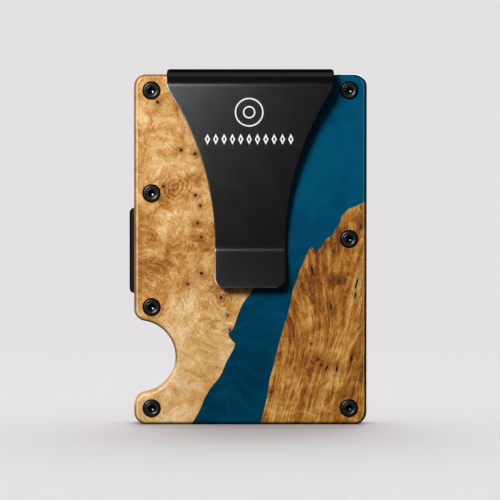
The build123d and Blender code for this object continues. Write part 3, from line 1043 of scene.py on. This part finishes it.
def gather(name, members):
    """A collection of objects, for a light to fall on or be stopped by."""
    group = bpy.data.collections.new(name)
    for member in members:
        group.objects.link(member)
    return group


def add_light(light, where, aim, members):
    """Puts a light there, aimed at a point, to fall on the given objects alone."""
    made = bpy.data.objects.new(light.name, light)
    made.location = where
    made.rotation_euler = (Vector(aim) - Vector(where)).to_track_quat("-Z", "Y").to_euler()
    bpy.context.scene.collection.objects.link(made)
    made.light_linking.receiver_collection = gather("lit_by_" + light.name, members)
    return made


def lamp(name, where, aim, size, power, members):
    """A rectangular softbox."""
    light = bpy.data.lights.new(name, "AREA")
    light.shape = "RECTANGLE"
    light.size, light.size_y = size
    light.energy = power
    add_light(light, where, aim, members).visible_camera = False


def away(azimuth, elevation, distance, aim):
    """A place at that distance from aim; azimuth 0 is in front and 90 to the right."""
    a, e = math.radians(azimuth), math.radians(elevation)
    direction = Vector((math.sin(a) * math.cos(e), -math.cos(a) * math.cos(e), math.sin(e)))
    return Vector(aim) + distance * direction


# Azimuth, elevation, strength and angle of the lights on the floor.
SUNS = ((180, 40, 2.0, 55), (110, 36, 0.58, 55), (250, 36, 0.58, 55), (0, 90, 0.52, 150))


def floor_suns(backdrop, members):
    """Wide soft lights from behind, the sides and above, which lay a shadow round the base."""
    casters = gather("shadow_casters", members)
    for azimuth, elevation, energy, spread in SUNS:
        light = bpy.data.lights.new(f"floor_light_{azimuth}", "SUN")
        light.energy = energy
        light.angle = math.radians(spread)
        origin = (0, 0, 0)
        made = add_light(light, away(azimuth, elevation, 1.0, origin), origin, [backdrop])
        made.light_linking.blocker_collection = casters


def studio():
    """The room round the object: pale to look at, a soft dome that lights it, and in
    reflections a bright ceiling and left wall with a dark space behind the camera."""
    world = bpy.data.worlds.new("studio")
    g = Graph(world)
    ray = g.node("ShaderNodeLightPath").outputs
    x, y, z = g.split(g.node("ShaderNodeTexCoord").outputs["Generated"])
    dome = g.smooth(z, -0.3, 0.3, 0.36, 0.40)
    wall = g.smooth(x, -0.4, 0.6, 0.7, 0.12)
    wall = g.math("MULTIPLY", wall, g.smooth(z, -0.5, 0.1, 0.3, 1.0))
    ceiling = g.smooth(z, 0.66, 0.80, 0.015, 0.45)
    front = g.smooth(g.math("MULTIPLY", y, -1.0), 0.2, 0.5)
    rear = g.smooth(y, 0.2, 0.5)
    mirrored = g.lerp(front, wall, ceiling)
    mirrored = g.lerp(rear, mirrored, g.math("ADD", ceiling, 0.08))
    lit = g.lerp(ray["Is Glossy Ray"], dome, mirrored)
    paper = g.mix(ray["Is Camera Ray"], g.join(lit, lit, lit), colour(PAPER))
    g.feed(g.tree.nodes["Background"].inputs[0], paper)
    # The room looks different to each kind of ray, so it isn't sampled as one light.
    world.cycles.sampling_method = "NONE"
    bpy.context.scene.world = world


def lights(backdrop):
    """Softboxes and the room. The black, glossy clip has softboxes of its own, which don't
    light the rest."""
    pieces = list(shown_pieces())
    clip_pieces = [o for o in pieces if "clip" in o.name]
    screw_pieces = [o for o in pieces if "screw" in o.name]
    others = [o for o in pieces if o not in clip_pieces]
    middle = place(0, 0, 43)
    # The main light, high on the left.
    key = away(-33, 31, 0.42, middle)
    lamp("key", key, middle, (0.147, 0.147), 1.95, others)
    lamp("clip_key", key, middle, (0.147, 0.147), 0.38, clip_pieces)
    # From above and a little in front, for the line along the clip's roll.
    roll = place(0, -4, 87)
    lamp("roll_light", roll + Vector((0, -0.06, 0.30)), roll, (0.2, 0.22), 0.055, clip_pieces)
    # From behind on the right, for the back panel.
    lamp("back_key", away(160, 35, 0.5, middle), middle, (0.25, 0.25), 2.0, others)
    # A wide thin one in front, for the line across the clip's crease.
    crease = place(-6, -6, 60)
    lamp("strip", away(-14, 3, 0.30, crease), crease, (0.13, 0.024), 0.15, clip_pieces)
    # A small one on the left, for the glint in each socket.
    lamp("screw_glint", away(-44, 20, 0.42, middle), middle, (0.06, 0.06), 0.6, screw_pieces)
    # A small one in front on the left, for the sheen on the clip's upper left.
    corner = place(-10, -6, 80)
    beside = corner + Vector((-0.054, -0.147, -0.017))
    below = corner - Vector((0, 0, 0.01))
    lamp("side_panel", beside, below, (0.045, 0.046), 0.165, clip_pieces)
    floor_suns(backdrop, pieces)
    studio()


def camera():
    """Nearly level and far off, the frame 122.7 mm wide at the object's face."""
    frame_width = 122.72 * MM
    distance = 1.0
    sensor = 36
    elevation = math.radians(2.0)
    aim = Vector((MIDDLE_X - 0.09 * MM, FACE_Y, 42.9 * MM))
    data = bpy.data.cameras.new("camera")
    data.sensor_width = sensor
    data.lens = sensor * distance / frame_width
    data.clip_end = 20
    made = bpy.data.objects.new("camera", data)
    made.location = aim + distance * Vector((0, -math.cos(elevation), math.sin(elevation)))
    made.rotation_euler = (aim - made.location).to_track_quat("-Z", "Y").to_euler()
    bpy.context.scene.collection.objects.link(made)
    bpy.context.scene.camera = made


lights(stage())
camera()
bpy.context.scene.view_settings.view_transform = "Standard"
